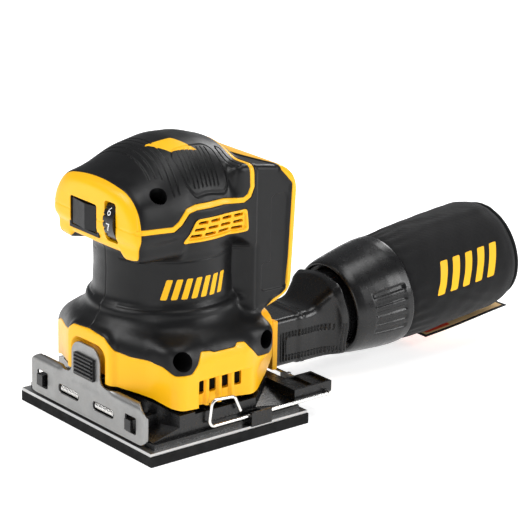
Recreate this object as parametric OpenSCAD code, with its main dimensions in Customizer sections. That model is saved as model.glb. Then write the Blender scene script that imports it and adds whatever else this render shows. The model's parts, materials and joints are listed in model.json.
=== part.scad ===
// Cordless quarter-sheet palm sander. Millimetres, +Z up.
// Origin: the foot of the motor axis, on the plane of the sanding face.
// The switch and the speed dial face -Y; the battery dock and the dust bag are on the +Y side.
// The platen is drawn with its bearing at the +Y point of the orbit.

/* [Pad] */
// Width of the sanding pad, left to right
pad_w = 114; // [112:1:116]
// Length of the sanding pad, front to back
pad_l = 100; // [99:1:101]
// Thickness of the foam
foam_t = 5.5; // [5:0.5:6]
// Thickness of the steel pad plate
plate_t = 1.6; // [1.2:0.2:1.6]
// Diameter of the dust holes through the pad
dust_hole_d = 9; // [7:1:10]

/* [Motor] */
// Radius of the sanding orbit
orbit_r = 0.8; // [0.8:0.1:1.0]
// Diameter of the motor shaft at the lower bearing
shaft_d = 8; // [8:1:8]
// Outer diameter of the stator
stator_d = 50; // [46:1:52]
// Height of the stator laminations
stator_h = 24; // [20:1:24]
// Radius of the fan
fan_r = 29; // [26:1:29]

/* [Housing] */
// Outer radius of the grip barrel
barrel_r = 36; // [36:0.5:37]
// Thickness of the clamshell wall
wall = 2.4; // [2:0.2:2.6]
// Thickness of the soft skin
skin = 1.2; // [1:0.1:1.4]
// Height of the top of the dome
dome_top = 149.8; // [149:0.2:151]
// Height of the split between the clamshell and the top cap
cap_split = 119; // [118:0.5:120]

/* [Controls] */
// Radius of the speed dial
dial_r = 13; // [12.5:0.1:13.2]
// Width of the speed dial
dial_w = 8.3; // [7.5:0.1:8.5]

/* [Front clamp] */
// Half width of the clamp plate
clamp_half = 50; // [48:1:51]
// Height of the top of the clamp wings
wing_top = 28.8; // [27:0.2:28.8]
// Height of the top of the clamp tab
tab_top = 47.5; // [45:0.5:48]

/* [Dust bag] */
// Outer radius of the bag
bag_r = 31.6; // [31:0.1:32]
// Length of the cloth bag
bag_l = 81; // [78:1:84]
// Upward tilt of the bag, in degrees
bag_tilt = 5.5; // [5:0.5:6.5]

/* [Hidden] */
$fn = 72;
e = 0.02; // overshoot that makes cuts clean
gap = 0.3; // clearance between parts that move past each other
run = 0.04; // radial clearance of a running fit

yellow = [0.98, 0.72, 0.03];
black = [0.10, 0.10, 0.11];
soft_black = [0.16, 0.16, 0.17];
steel = [0.72, 0.73, 0.74];
copper = [0.72, 0.42, 0.20];
green = [0.08, 0.32, 0.16];

plate_z = foam_t + plate_t; // top of the pad plate
hub_r = 17; // platen bearing hub
bearing_z = 12; // underside of the platen bearing
edge_z = 22.5; // lower edge of the housing on its sides
arch_edge_z = 30.5; // lower edge of the housing at its front
front_y = -46; // front of the base
side_x = 53.2; // side of the base
duct_y = 60; // rear of the base, where the dust port is
block_y = -42.5; // front face of the switch block
block_half = 37; // half width of the switch block
block_low = 100;
block_top = 133;
shoulder_r = 13; // upper corners of the switch block
block_split = 113; // split between the two halves of the switch block
dock_half = 38; // half width of the battery dock
axle_y = -45.95; // hinge rod of the front clamp
axle_z = 17;
axle_r = 1.2;
plate_y = -47.2; // rear face of the front clamp plate
clamp_t = 1.4;
wire_x = 55.3; // plane of the rear clamp lever
wire_r = 0.9;
lever_y = 66; // pivot of the rear clamp
lever_z = 12.4;
port_z = 27.2; // axis of the dust port
port_r = 13;
port_bore = 11;
port_end = 74; // rear end of the dust port
bag_y = 111; // front face of the bag cap, on the bag axis
bag_z = 34.2;
cap_l = 36; // length of the bag cap
dial_y = -32.6;
dial_z = 114.5;
dial_x = 11.3; // left face of the dial
rocker_x = -7.5;
rocker_z = 113;
motor_z = 58; // underside of the stator
partition_z = 42; // underside of the fan chamber roof

// Outline of the base: narrow front, wide sides, tapering to the dust port
base_half = [[17, front_y], [side_x, -29.5], [side_x, 18.5], [17, duct_y]];
// Outline of the platen walls under it
carrier_half = [[17, -45.5], [52.7, -29.5], [52.7, 18.5], [30, 44]];
// Lower edge of the housing at the front, as [x, z]
tray_gap = 36; // half the opening between the two arms of the tray
front_edge = [[12, arch_edge_z], [18, arch_edge_z], [32, 29.2], [40, 27.8], [47, 25.2], [side_x, edge_z + 1],
    [60, edge_z]];
// Screws that join the two halves, as [y, z], and how far the cap screws are from the middle
screw_at = [[-24, 48], [30.5, 48], [40, 72]];
cap_screw_x = 31;
cap_screw_y = -26;
post_at = [[-36, -21], [36, -21], [-36, 19], [36, 19]]; // the four rubber posts
// Side outline of the battery dock, as [y, z]
dock_side = [[16, 58], [27, 57], [48, 62], [52.6, 66.5], [55.6, 124.5], [47.6, 133.7], [34, 138], [16, 138]];
// Radius of the dome about a level axis at dome_axis_z, as [y, r]
dome_axis_z = 110;
dome_r = dome_top - dome_axis_z;
dome_profile = [[-41, 22], [-38, 27], [-30, 32.5], [-18, 37.4], [-2, dome_r], [14, 38.2], [26, 33.5], [34, 28]];

// Side outline of the bag, as [radius, distance behind the cap], and its thickness at each point
bag_outline = [[28, -0.4], [28, 0.2], [29.6, 1], [31.2, 20], [bag_r, 46], [31.5, bag_l - 13],
    [29.6, bag_l - 5.5], [25.6, bag_l - 1.9], [0, bag_l]];
bag_skin = [[2.4, 0], [1.4, 0], [1.4, 0], [1.4, 0], [1.4, 0], [1.4, 0.4], [1.2, 0.8], [1, 1.2], [0, 1.4]];

// ---- geometry helpers ----

function unit(v) = v / norm(v);
// The points of a convex anticlockwise outline, moved inwards by d
function inset(p, d) = [for (k = [0:len(p) - 1])
    let (a = unit(p[k] - p[(k + len(p) - 1) % len(p)]), b = unit(p[(k + 1) % len(p)] - p[k]))
    p[k] + [-a.y - b.y, a.x + b.x] * d / (1 + a * b)];
// A half outline with its mirror image, anticlockwise
function both_sides(half) = concat(half, [for (k = [len(half) - 1:-1:0]) [-half[k].x, half[k].y]]);

module at_pad() translate([0, orbit_r, 0]) children();
module slab(x0, x1, y0, y1, z0, z1) translate([x0, y0, z0]) cube([x1 - x0, y1 - y0, z1 - z0]);
module disc(r, z0, z1) translate([0, 0, z0]) cylinder(r = r, h = z1 - z0);
module ring(r_out, r_in, z0, z1) difference() {
    disc(r_out, z0, z1);
    disc(r_in, z0 - e, z1 + e);
}
module prism(points, z0, z1) translate([0, 0, z0]) linear_extrude(z1 - z0) polygon(points);
module x_rod(r, x0, x1, y, z) translate([x0, y, z]) rotate([0, 90, 0]) cylinder(r = r, h = x1 - x0);
module y_rod(r, y0, y1, x, z) translate([x, y0, z]) rotate([-90, 0, 0]) cylinder(r = r, h = y1 - y0);
// An outline drawn as [y, z], extruded across the tool
module x_prism(points, x0, x1) translate([x0, 0, 0])
    rotate([90, 0, 90]) linear_extrude(x1 - x0) polygon(points);
// The right (+1) or left (-1) half of the tool
module half(side) intersection() {
    children();
    slab(side > 0 ? 0 : -80, side > 0 ? 80 : 0, -80, 90, 0, 160);
}
module bag_axis() translate([0, bag_y, bag_z]) rotate([-90 + bag_tilt, 0, 0]) children();

// ---- platen: pad, carrier and bearing ----

module dust_holes(z0, z1) for (x = [-38, 0, 38], y = [-32, 0, 32])
    if (x != 0 || y != 0) translate([x, y, 0]) disc(dust_hole_d / 2, z0, z1);

module foam_pad() color(soft_black) at_pad() difference() {
    slab(-pad_w / 2, pad_w / 2, -pad_l / 2, pad_l / 2, 0, foam_t);
    dust_holes(-e, foam_t + e);
}

module pad_plate() color(steel) at_pad() difference() {
    slab(-pad_w / 2 + 0.5, pad_w / 2 - 0.5, -pad_l / 2, pad_l / 2 - 0.5, foam_t, plate_z);
    dust_holes(foam_t - e, plate_z + e);
}

// Everything below the lower edge of the housing at the front
module below_front_edge() rotate([90, 0, 0]) translate([0, 0, 20]) linear_extrude(40)
    polygon(concat([for (p = front_edge) p], [[60, 10], [-60, 10]],
        [for (k = [len(front_edge) - 1:-1:0]) [-front_edge[k].x, front_edge[k].y]]));

// Everything above the upper edge of the platen walls
module above_carrier_edge() difference() {
    slab(-70, 70, -70, 60, edge_z - 2.5, 40);
    translate([0, 0, -2.5]) below_front_edge();
}

module rear_tray() difference() {
    union() {
        slab(-52.8, 52.8, 44, 68.6, 10, 18);
        slab(-52.8, 52.8, 40, 44 + e, 10, 12);
    }
    slab(-50.8, 50.8, 46.5, 67.4, 10 - e, 15.2);
    slab(-50.8, 50.8, 39, 46.5 + e, 10 + 2, 13);
    slab(-tray_gap, tray_gap, 51, 70, 9, 19);
    // open pan on top of each arm, with a rib across it
    for (s = [-1, 1], y = [47.2, 58.6])
        slab(s > 0 ? tray_gap + 1.6 : -51.2, s > 0 ? 51.2 : -tray_gap - 1.6,
            y, y + (y > 50 ? 8.8 : 9.8), 16.6, 19);
    x_rod(wire_r + run, -60, 60, lever_y - orbit_r, lever_z);
}

module clamp_lugs() for (s = [-1, 1]) {
    // bracket that holds the hinge rod
    slab(s > 0 ? 31 : -34, s > 0 ? 34 : -31, -47.2, -34, 14.5, 19.5);
    // hook that reaches through the window of the clamp plate
    slab(s > 0 ? 36 : -41, s > 0 ? 41 : -36, -51.2, -32, 14, 20);
}

module platen_carrier() color(black) at_pad() difference() {
    union() {
        slab(-54, 54, -46, 46, plate_z, 10);
        hull() {
            slab(-52, 52, -45.5, 45, 10, 10.5);
            prism(both_sides(carrier_half), 14, 15);
        }
        difference() {
            prism(both_sides(carrier_half), 14, 29);
            above_carrier_edge();
        }
        clamp_lugs();
        rear_tray();
        slab(wire_x + wire_r + gap, 58, 12, 25, 8.5, 14.5);
        slab(53, 58, 12, 25, plate_z, 10);
    }
    difference() {
        prism(inset(both_sides(carrier_half), 2.4), 10, 40);
        disc(hub_r, 9, 22);
        for (s = [-1, 1]) slab(s > 0 ? 2 : -4, s > 0 ? 4 : -2, -50, 50, 9, 14);
        for (p = post_at) translate([p.x, p.y, 0]) disc(10, 9, 14);
    }
    disc(13, bearing_z, 23);
    disc(10, plate_z - e, bearing_z + e);
    for (p = post_at) translate([p.x, p.y, 0]) disc(8, 10, 15);
    x_rod(axle_r, -36, 36, axle_y - orbit_r, axle_z);
    for (s = [-1, 1]) x_rod(2.4, s > 0 ? 6 : -24, s > 0 ? 24 : -6, axle_y - orbit_r, axle_z);
    dust_holes(plate_z - e, 10 + e);
}

module platen_bearing() color(steel) at_pad() difference() {
    disc(13, bearing_z, bearing_z + 8);
    disc(5 + run, bearing_z - e, bearing_z + 8 + e);
    ring(10.6, 7.4, bearing_z - e, bearing_z + 0.6);
    ring(10.6, 7.4, bearing_z + 7.4, bearing_z + 8 + e);
}

// ---- front clamp ----

module clamp_axle() color(steel) x_rod(axle_r, -34, 34, axle_y, axle_z);

module clamp_springs() color(steel) for (s = [-1, 1]) difference() {
    x_rod(2.2, s > 0 ? 7 : -23, s > 0 ? 23 : -7, axle_y, axle_z);
    x_rod(axle_r + 0.1, s > 0 ? 6 : -24, s > 0 ? 24 : -6, axle_y, axle_z);
}

// A rounded slot through the clamp plate, along X
module obround(x0, x1, z, r) rotate([90, 0, 0]) translate([0, 0, 40]) linear_extrude(12) union() {
    translate([x0 + r, z]) circle(r, $fn = 32);
    translate([x1 - r, z]) circle(r, $fn = 32);
    translate([x0 + r, z - r]) square([x1 - x0 - 2 * r, 2 * r]);
}

module front_clamp_plate() color(steel) difference() {
    union() {
        slab(-clamp_half, clamp_half, plate_y - clamp_t, plate_y, 13, wing_top - 6);
        slab(-clamp_half + 3, clamp_half - 3, plate_y - clamp_t, plate_y, 8.4, 13 + e);
        slab(-clamp_half + 6, clamp_half - 6, plate_y - clamp_t, plate_y, 13, wing_top);
        for (s = [-1, 1]) y_rod(6, plate_y - clamp_t, plate_y, s * (clamp_half - 6), wing_top - 6);
        slab(-12, 12, plate_y - clamp_t, plate_y, 20, tab_top - 8);
        slab(-4, 4, plate_y - clamp_t, plate_y, 20, tab_top);
        for (s = [-1, 1]) y_rod(8, plate_y - clamp_t, plate_y, s * 4, tab_top - 8);
        for (s = [-1, 1]) slab(s * 27.7 - 0.7, s * 27.7 + 0.7, plate_y - e, axle_y + 2.4, 14.9, 19.8);
    }
    for (s = [-1, 1]) {
        slab(s > 0 ? 33.5 : -43.5, s > 0 ? 43.5 : -33.5, -50, -46, 12.4, 21.8);
        obround(s > 0 ? 5.5 : -24.5, s > 0 ? 24.5 : -5.5, axle_z, 2.6);
    }
    x_rod(axle_r + run, -30, 30, axle_y, axle_z);
}

module front_clamp_thumb_pad() color(black) union() {
    slab(-8.3, 8.3, plate_y - clamp_t - 1.4, plate_y - clamp_t, 30, 41.5);
    for (k = [0:4]) x_rod(0.7, -7.4, 7.4, plate_y - clamp_t - 1.4, 31.8 + k * 2);
}

// ---- rear clamp ----

// Corners of the bent wire, as [y, z], in the plane of the lever
wire_route = [[lever_y, lever_z], [-12.6, 12.2], [-10.6, 26.2], [3.4, 25.2], [7.4, 16.6]];
wire_bend = 3.2;

// Angle through which the route turns at corner k, and how far the bend reaches along each side
function turn(k) = let (u = wire_route[k] - wire_route[k - 1], v = wire_route[k + 1] - wire_route[k])
    atan2(u.x * v.y - u.y * v.x, u * v);
function reach(k) = k == 0 || k == len(wire_route) - 1 ? 0 : wire_bend * tan(abs(turn(k)) / 2);

module wire_run(k) {
    d = unit(wire_route[k + 1] - wire_route[k]);
    from = wire_route[k] + d * (reach(k) - e);
    to = wire_route[k + 1] - d * (reach(k + 1) - e);
    translate([from.x, from.y, 0]) rotate([0, 90, atan2(d.y, d.x)]) cylinder(r = wire_r, h = norm(to - from));
}

// Every bend of this wire turns the same way, clockwise seen from +X
module wire_corner(k) {
    d = unit(wire_route[k] - wire_route[k - 1]);
    centre = wire_route[k] - d * reach(k) + [d.y, -d.x] * wire_bend;
    translate([centre.x, centre.y, 0]) rotate(atan2(d.x, -d.y) + turn(k))
        rotate_extrude(angle = -turn(k)) translate([wire_bend, 0]) circle(wire_r + e);
}

module rear_clamp_wire() color(steel) union() {
    translate([wire_x, 0, 0]) rotate([90, 0, 90]) {
        for (k = [0:len(wire_route) - 2]) wire_run(k);
        for (k = [1:len(wire_route) - 2]) wire_corner(k);
    }
    x_rod(1.6, wire_x - 1, wire_x + 1, lever_y, lever_z);
    x_rod(wire_r, -54.4, wire_x - 1 + e, lever_y, lever_z);
}

module rear_clamp_jaw() color(steel) difference() {
    union() {
        for (s = [-1, 1]) slab(s > 0 ? 19 : -47, s > 0 ? 47 : -19, 48.2, 63, 7.5, 8.7);
        for (s = [-1, 1]) slab(s > 0 ? 19 : -47, s > 0 ? 47 : -19, 63 - e, 64.4, 7.5, 13.6);
        for (s = [-1, 1], x = [22, 42]) slab(s * x - 1, s * x + 1, 64.4 - e, 67.2, 10, 13.6);
    }
    x_rod(wire_r, -54.4, wire_x, lever_y, lever_z);
}

// ---- drive ----

module motor_shaft() color(steel) union() {
    at_pad() disc(5, bearing_z - 1, bearing_z + 8.5);
    disc(8, bearing_z + 8.5, bearing_z + 11);
    disc(5, bearing_z + 11, 48);
    disc(shaft_d / 2, 48 - e, 96);
    disc(3, 96 - e, 102.5);
}

module rotor() color(steel) ring(12, shaft_d / 2, motor_z - 1, motor_z + stator_h + 1);

module rotor_magnets() color(black) for (a = [0:90:270]) rotate(a) intersection() {
    ring(13.4, 12, motor_z, motor_z + stator_h);
    slab(0, 20, -8, 8, motor_z - 1, motor_z + stator_h + 1);
}

module cooling_fan() color(black) union() {
    ring(9, 5, 24, 38);
    ring(fan_r, 9 - e, 34.5, 36.5);
    for (a = [0:30:330]) rotate(a) slab(9 - e, fan_r, -0.9, 0.9, 27, 34.5 + e);
}

module counterweight() color(steel) intersection() {
    ring(fan_r - 4, 11, 36.5, 39.5);
    slab(-40, 40, -40, -4, 30, 45);
}

module platen_screw() color(steel) at_pad() difference() {
    union() {
        disc(7, bearing_z - 2.4, bearing_z - 1);
        disc(4.5, bearing_z - 4.2, bearing_z - 2.4 + e);
    }
    translate([0, 0, bearing_z - 4.2 - e]) cylinder(r = 2.5, h = 2, $fn = 6);
}

// ---- housing shells ----

module base_solid(d) intersection() {
    prism(inset(both_sides(base_half), d), edge_z, 64);
    union() {
        disc(80, edge_z - 1, 44);
        translate([0, 0, 44 - e]) cylinder(r1 = 67 - d, r2 = barrel_r - d - 1, h = 20, $fn = 96);
        disc(barrel_r - d, 55, 64);
    }
}

module head_solid(d) union() {
    disc(barrel_r - d, 50, 101);
    translate([0, 0, 98]) cylinder(r1 = barrel_r - d, r2 = 38.5 - d, h = 6);
    disc(38.5 - d, 104 - e, cap_split + 0.5);
    slab(-block_half + d, block_half - d, block_y + d, -10, block_low + d, block_split);
}

module dock_solid(d) x_prism(inset(dock_side, d), -dock_half + d, dock_half - d);

module dome_solid(d) intersection() {
    translate([0, 0, dome_axis_z]) rotate([-90, 0, 0]) rotate_extrude($fn = 96)
        polygon(concat([[0, dome_profile[0].x + d]], [for (p = dome_profile) [p.y - d, p.x + (p.x < -30 ? d : 0)]],
            [[0, dome_profile[7].x]]));
    slab(-60, 60, -60, 60, block_split, 160);
}

module body_solid(d) union() {
    base_solid(d);
    head_solid(d);
    dock_solid(d);
}

// The part of the clamshell that the soft skin covers
module skin_zone() difference() {
    slab(-80, 80, -80, 50.5, 47, 160);
    slab(-80, 80, -80, -28, 90, 160);
}

module screw_rods(r, x0, x1) for (p = screw_at) x_rod(r, x0, x1, p.x, p.y);
module cap_screw_rods(r, z0, z1) for (s = [-1, 1]) translate([s * cap_screw_x, cap_screw_y, 0]) disc(r, z0, z1);

// Recess behind the loop of the rear clamp, on each side
module side_recess(depth, margin) for (s = [-1, 1])
    slab(s > 0 ? side_x - depth : -70, s > 0 ? 70 : depth - side_x, -16 - margin, 20 + margin, 15, 38 + margin);

// Cuts that open the shell at its front edge, at the vents and round the battery
module shell_openings() {
    slab(-14, 14, front_y - 2, -39.5, edge_z - 2, 49);
    below_front_edge();
    side_recess(3, 0);
    slab(-31, 31, 47, 60, 68, 128);
    slab(-29, 29, 36, 50, 78, 122);
    y_rod(port_r, duct_y - 4, duct_y + 1, 0, port_z);
    for (s = [-1, 1], row = [0:2], k = [0:3])
        translate([s * 36, -3.5 + k * 7.4 - row * 0.6, 107 + row * 3.4 + k * 0.5])
            cube([14, 5.4, 1.3], center = true);
    for (s = [-1, 1], k = [0:3]) translate([s * 50, -13.4 + k * 8.6, 31.5]) cube([12, 3, 8], center = true);
    slab(-18.9, 3.9, block_y - 3, block_y + wall + 1, rocker_z - 8, rocker_z + 7.6);
    x_rod(dial_r + 0.7, dial_x - 0.6, dial_x + dial_w + 0.6, dial_y, dial_z);
}

// The hollow of the two halves, without the ribs, seats and bosses that stay in it
module shell_inside() {
    difference() {
        body_solid(wall);
        screw_rods(4.4, -60, 60);
        cap_screw_rods(4.4, 104, 125);
        for (x = [-16, 16], y = [-13, 27]) translate([x, y, 0]) disc(2.5, 98, 106);
        side_recess(3 + wall, wall);
        // roof of the fan chamber, and the ledge under the bearing plate
        difference() {
            slab(-60, 60, -60, 60, partition_z, partition_z + 2.2);
            disc(31, 40, 50);
        }
        ring(70, 30, 51.5, 53);
        // seats of the upper bearing
        ring(40, 9.5, 97, 99);
        // webs that hold the stator
        for (a = [45:90:315]) rotate(a) slab(stator_d / 2, 40, -1.5, 1.5, motor_z, motor_z + 6);
        // walls of the clamp pocket and of the battery dock
        slab(-16, 16, -50, -37.4, 20, 51);
        slab(-33.4, 33.4, 44.6, 60, 60, 130.4);
        slab(-60, 60, 29, 32.4, 116, 140);
    }
}

module clamshell(side) color(yellow) half(side) difference() {
    body_solid(0);
    intersection() {
        difference() {
            body_solid(-1);
            body_solid(skin);
        }
        skin_zone();
    }
    shell_inside();
    shell_openings();
    slab(-80, 80, -80, 30, cap_split, 160);
    slab(-80, 80, -80, -26, block_split, 160);
    cap_screw_rods(1.75, 106, 125);
    screw_rods(1.75, -6.5, 17);
    screw_rods(3.5, 16 - e, 60);
}

module housing_left() clamshell(-1);
module housing_right() clamshell(1);

module overmold(side) color(soft_black) half(side) difference() {
    intersection() {
        body_solid(0);
        skin_zone();
    }
    body_solid(skin);
    shell_openings();
    slab(-80, 80, -80, 30, cap_split - 2, 160);
    // window in which the yellow vent grille shows
    for (s = [-1, 1]) translate([s * 38, 8.5, 111.2]) rotate([3, 0, 0]) cube([10, 32, 13], center = true);
    screw_rods(3.5, 16, 60);
}

module overmold_left() overmold(-1);
module overmold_right() overmold(1);

// The upper half of the switch block, with its round shoulders
module block_upper() difference() {
    union() {
        slab(-block_half, block_half, block_y, -26, block_split, block_top - shoulder_r);
        slab(shoulder_r - block_half, block_half - shoulder_r, block_y, -26, block_split, block_top);
        intersection() {
            for (s = [-1, 1])
                y_rod(shoulder_r, block_y, -26, s * (block_half - shoulder_r), block_top - shoulder_r);
            slab(-50, 50, -60, 0, block_split, block_top);
        }
    }
    translate([0, block_y, block_top]) rotate([45, 0, 0]) cube([100, 5, 5], center = true);
}

module top_cap() color(yellow) difference() {
    union() {
        intersection() {
            dome_solid(skin);
            slab(-60, 60, -60, 29.7, cap_split, 160);
        }
        block_upper();
    }
    difference() {
        union() {
            intersection() {
                dome_solid(skin + wall);
                slab(-60, 60, -60, 27.5, 100, 160);
            }
            slab(-block_half + wall, block_half - wall, block_y + wall, -20, 100, block_top - 7);
        }
        cap_screw_rods(5.4, cap_split - 1.8, 140);
    }
    shell_openings();
    cap_screw_rods(2.1, 110, 140);
    cap_screw_rods(4.4, 121.45, 150);
}

module top_grip() color(soft_black) difference() {
    intersection() {
        dome_solid(0);
        slab(-60, 60, -36.5, 28.7, cap_split + 2.2, 160);
    }
    dome_solid(skin);
    slab(-block_half, block_half, block_y, -26, block_split, block_top);
    cap_screw_rods(4.4, 118, 150);
}

// ---- inside the housing ----

module fan_shroud() color(black) difference() {
    union() {
        ring(33, 31, 24, partition_z);
        slab(-12, 12, 30, duct_y - 4 - e, 25, 39);
    }
    slab(-10, 10, 28, duct_y, 27, 37);
    disc(31, 20, 50);
}

module bearing_plate() color(steel) difference() {
    union() {
        disc(barrel_r - wall - 0.2, 53, 56);
        disc(14, 48.5, 56);
    }
    disc(11, 49, 57);
    disc(9, 48, 58);
    for (a = [0:45:315]) rotate(a) translate([24, 0, 0]) disc(5, 50, 60);
}

module bearing(r_out, r_in, z0, z1) color(steel) difference() {
    disc(r_out, z0, z1);
    disc(r_in + run, z0 - e, z1 + e);
    ring(r_out - 2, r_in + 2, z0 - e, z0 + 0.5);
    ring(r_out - 2, r_in + 2, z1 - 0.5, z1 + e);
}
module lower_bearing() bearing(11, shaft_d / 2, 49, 56);
module upper_bearing() bearing(9.5, 3, 97, 102);

module stator_core() color(steel) difference() {
    union() {
        ring(stator_d / 2, stator_d / 2 - 5, motor_z, motor_z + stator_h);
        for (a = [0:60:300]) rotate(a) {
            slab(15, stator_d / 2 - 4, -2.6, 2.6, motor_z, motor_z + stator_h);
            intersection() {
                ring(16.4, 14, motor_z, motor_z + stator_h);
                slab(10, 20, -6.2, 6.2, motor_z, motor_z + stator_h);
            }
        }
    }
    disc(14, motor_z - 1, motor_z + stator_h + 1);
}

module stator_windings() color(copper) for (a = [0:60:300]) rotate(a) difference() {
    slab(16.6, stator_d / 2 - 5.8, -4.4, 4.4, motor_z - 1.6, motor_z + stator_h + 3);
    slab(16, stator_d / 2, -2.6, 2.6, motor_z, motor_z + stator_h);
}

module isolation_posts() color(soft_black) for (p = post_at) translate([p.x, p.y, 0]) union() {
    disc(6, 10.4, 14);
    disc(4.2, 14 - e, 38);
    disc(6, 38 - e, partition_z);
}

module circuit_board() color(green) difference() {
    slab(-19, 19, -16, 30, 106, 107.6);
    for (x = [-16, 16], y = [-13, 27]) translate([x, y, 0]) disc(1.5, 105, 109);
}

module board_capacitors() color(black) for (x = [-11, 0, 11]) union() {
    translate([x, 18, 0]) disc(4, 107.6, 119);
    slab(x - 4, x + 4, -8, 4, 107.6, 110);
}

module switch_module() color(black) union() {
    slab(-18, 3, -37.6, -26, block_low + wall, 119.5);
    slab(-14, -1, -26 - e, -23, 108, 117);
}

module switch_boot() color(soft_black) difference() {
    slab(-20, 5, block_y - 1, block_y, rocker_z - 9.2, rocker_z + 8.8);
    slab(-18.5, 3.5, block_y - 2, block_y + 1, rocker_z - 7.6, rocker_z + 7.2);
}

module switch_rocker() color(soft_black) translate([rocker_x, 0, 0]) union() {
    prism([[-10, block_y + 2.6], [-10, block_y - 0.9], [2.6, block_y - 2.6], [10, block_y - 0.9],
        [10, block_y + 2.6]], rocker_z - 6.8, rocker_z + 6.4);
    translate([0, block_y + 2.6, 0]) disc(2, rocker_z - 6.8, rocker_z + 6.4);
}

module speed_dial() color(black) difference() {
    x_rod(dial_r, dial_x, dial_x + dial_w, dial_y, dial_z);
    x_rod(2 + run, dial_x - 1, dial_x + dial_w + 1, dial_y, dial_z);
    for (a = [0:15:345]) translate([0, dial_y, dial_z]) rotate([a, 0, 0])
        x_rod(0.6, dial_x - 1, dial_x + 2, dial_r, 0);
}

module dial_potentiometer() color(steel) union() {
    slab(dial_x + dial_w + 1, dial_x + dial_w + 6, dial_y - 5, dial_y + 4, block_low + wall, dial_z + 4);
    x_rod(2, dial_x - 0.4, dial_x + dial_w + 1 + e, dial_y, dial_z);
}

module terminal_block() color(black) difference() {
    slab(-31, 31, 36.2, 44.6, 96, 120);
    for (x = [-15, -9, -3, 3, 9, 15]) slab(x - 0.5, x + 0.5, 36, 45, 100, 116);
}

module terminal_blades() color(copper) for (x = [-15, -9, -3, 3, 9, 15])
    slab(x - 0.5, x + 0.5, 38, 48, 100, 116);

module screw(length, r) union() {
    cylinder(r = r, h = length, $fn = 24);
    difference() {
        translate([0, 0, length - e]) cylinder(r = 3, h = 2.4, $fn = 32);
        translate([0, 0, length + 1.2]) cylinder(r = 1.4, h = 2, $fn = 6);
    }
}

module housing_screws() color(steel) for (p = screw_at)
    translate([-6, p.x, p.y]) rotate([0, 90, 0]) screw(22, 1.7);

module cap_screws() color(steel) for (s = [-1, 1])
    translate([s * cap_screw_x, cap_screw_y, 107]) screw(14.5, 1.7);

// ---- dust port and bag ----

module dust_port() color(yellow) difference() {
    union() {
        y_rod(port_r, duct_y - 4, port_end, 0, port_z);
        slab(-16, 16, duct_y, duct_y + 3, 14.3, 41);
    }
    y_rod(port_bore, duct_y - 5, port_end + 1, 0, port_z);
}

module dust_adapter() color(black) difference() {
    union() {
        slab(-14, 14, duct_y + 3, 109, 14.3, 38);
        hull() {
            slab(-14, 14, 82, 84, 14.3, 40.7);
            bag_axis() disc(21, -7, -5);
        }
        slab(-14, 14, duct_y + 3, 83, 37, 40.7);
        bag_axis() disc(20.7, -6, 12);
        for (s = [-1, 1], k = [0:18]) slab(s * 14 - 0.8, s * 14 + 0.8, 66 + k * 2.2, 67 + k * 2.2, 16, 32);
    }
    y_rod(port_r + run, duct_y, port_end + 2, 0, port_z);
    y_rod(port_bore, port_end, 90, 0, port_z);
    hull() {
        y_rod(port_bore - 0.2, 88, 89, 0, port_z);
        bag_axis() disc(17, -5, -4);
    }
    bag_axis() disc(17.3, -4.5, 13);
}

module bag_cap() color(black) bag_axis() difference() {
    rotate_extrude($fn = 96) polygon([[21 + gap, 4], [23.6, 3], [23.8, 0.8], [24.6, 0], [25.6, 1], [26.8, 5],
        [29.4, 22], [30.2, 30], [30.2, cap_l], [28.2, cap_l], [28.2, 30], [25, 8], [21 + gap, 8]]);
    for (a = [0, 180], k = [-2:2]) rotate(a + k * 9) translate([29.9, 0, 0]) disc(1, 8, 28);
}

module bag_ring() color(black) bag_axis() difference() {
    disc(28.1, cap_l - 5, cap_l - 0.4);
    disc(25.3, cap_l - 6, cap_l + 1);
}

module bag_frame() color(steel) bag_axis() union() {
    for (a = [45:90:315]) rotate(a) translate([23.3, 0, 0]) disc(1, cap_l - 4, cap_l + bag_l - 16);
    ring(25.3, 22, cap_l - 5.5, cap_l - 3.5);
    ring(24.6, 22, cap_l + bag_l - 17, cap_l + bag_l - 15);
}

module dust_bag() color(black) bag_axis() {
    translate([0, 0, cap_l]) rotate_extrude($fn = 96)
        polygon(concat(bag_outline, [for (k = [len(bag_outline) - 1:-1:0]) bag_outline[k] - bag_skin[k]]));
}

module bag_tag() color([0.72, 0.60, 0.42]) bag_axis() slab(-12, 12, bag_r + 0.2, bag_r + 1.4, 59, 121);

foam_pad();
pad_plate();
platen_carrier();
platen_bearing();
clamp_axle();
clamp_springs();
front_clamp_plate();
front_clamp_thumb_pad();
rear_clamp_wire();
rear_clamp_jaw();
motor_shaft();
rotor();
rotor_magnets();
cooling_fan();
counterweight();
platen_screw();
housing_left();
housing_right();
overmold_left();
overmold_right();
top_cap();
top_grip();
fan_shroud();
bearing_plate();
lower_bearing();
upper_bearing();
stator_core();
stator_windings();
isolation_posts();
circuit_board();
board_capacitors();
switch_module();
switch_boot();
switch_rocker();
speed_dial();
dial_potentiometer();
terminal_block();
terminal_blades();
housing_screws();
cap_screws();
dust_port();
dust_adapter();
bag_cap();
bag_ring();
bag_frame();
dust_bag();
bag_tag();
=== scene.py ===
import json
import math

import bmesh
import bpy
import numpy as np
from mathutils import Matrix, Vector


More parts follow.
